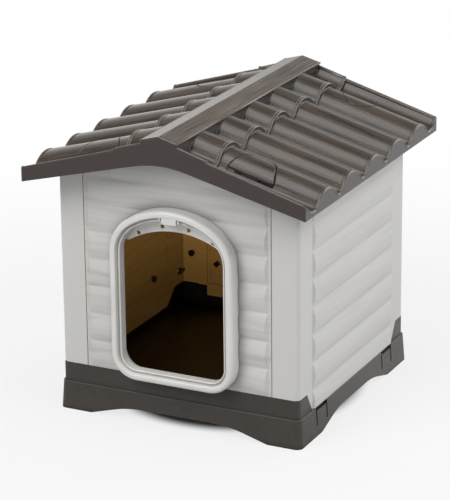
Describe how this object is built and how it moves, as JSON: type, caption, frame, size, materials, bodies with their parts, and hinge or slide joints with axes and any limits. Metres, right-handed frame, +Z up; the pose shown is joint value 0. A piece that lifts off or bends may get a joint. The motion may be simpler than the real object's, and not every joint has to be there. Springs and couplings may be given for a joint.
{
  "type": "outdoor dog kennel",
  "caption": "Moulded plastic outdoor kennel with a tiled gable roof that lifts off on latches, board-like walls, an arched framed doorway and a raised tray base.",
  "frame": {"origin": "on the ground under the middle of the roof's outline, which is also the middle of the walls", "axes": "+Z up, the doorway faces -Y, +X to the right seen from the front"},
  "size_m": [0.5308, 0.574, 0.5401],
  "materials": {
    "base_plastic": "dark warm grey, fine satin grain",
    "wall_plastic": "pale warm grey, satin",
    "frame_plastic": "off-white, semi-gloss",
    "roof_plastic": "brown-grey with faint wood-like streaks down the slope",
    "pin_steel": "plain wire",
    "stud_plastic": "satin",
    "plug_plastic": "satin",
    "seal_rubber": "matte black",
    "shutter_plastic": "satin"
  },
  "bodies": {
    "kennel": {"base_tray": "base_plastic", "right_side_panel": "wall_plastic", "left_side_panel": "wall_plastic", "front_panel": "wall_plastic", "back_panel": "wall_plastic", "door_frame": "frame_plastic", "round_studs": "stud_plastic", "winged_studs": "stud_plastic", "diamond_studs": "stud_plastic", "drain_seal": "seal_rubber", "vent_grille": "frame_plastic"},
    "roof": {"roof_shell": "roof_plastic", "roof_latch_pins": "pin_steel"},
    "drain_plug": {"drain_plug": "plug_plastic"},
    "vent_shutter": {"vent_shutter": "shutter_plastic"},
    "roof_latch_front_right": {"roof_latch_front_right": "roof_plastic"},
    "roof_latch_front_left": {"roof_latch_front_left": "roof_plastic"},
    "roof_latch_rear_right": {"roof_latch_rear_right": "roof_plastic"},
    "roof_latch_rear_left": {"roof_latch_rear_left": "roof_plastic"}
  },
  "joints": [
    {"name": "roof_lift", "type": "slide", "parent": "kennel", "child": "roof", "axis": [0, 0, 1], "range_m": [0, 0.25]},
    {"name": "latch_front_right_turn", "type": "hinge", "parent": "roof", "child": "roof_latch_front_right", "pos_m": [0.14868, -0.208, 0.48619], "axis": [-0.9646, 0, 0.2639], "range_deg": [0, 22]},
    {"name": "latch_front_left_turn", "type": "hinge", "parent": "roof", "child": "roof_latch_front_left", "pos_m": [-0.14868, -0.208, 0.48619], "axis": [-0.9646, 0, -0.2639], "range_deg": [0, 22]},
    {"name": "latch_rear_right_turn", "type": "hinge", "parent": "roof", "child": "roof_latch_rear_right", "pos_m": [0.14868, 0.208, 0.48619], "axis": [0.9646, 0, -0.2639], "range_deg": [0, 22]},
    {"name": "latch_rear_left_turn", "type": "hinge", "parent": "roof", "child": "roof_latch_rear_left", "pos_m": [-0.14868, 0.208, 0.48619], "axis": [0.9646, 0, 0.2639], "range_deg": [0, 22]},
    {"name": "drain_plug_lift", "type": "slide", "parent": "kennel", "child": "drain_plug", "axis": [0, 0, 1], "range_m": [0, 0.04]},
    {"name": "vent_shutter_slide", "type": "slide", "parent": "kennel", "child": "vent_shutter", "axis": [1, 0, 0], "range_m": [0, 0.011]}
  ]
}
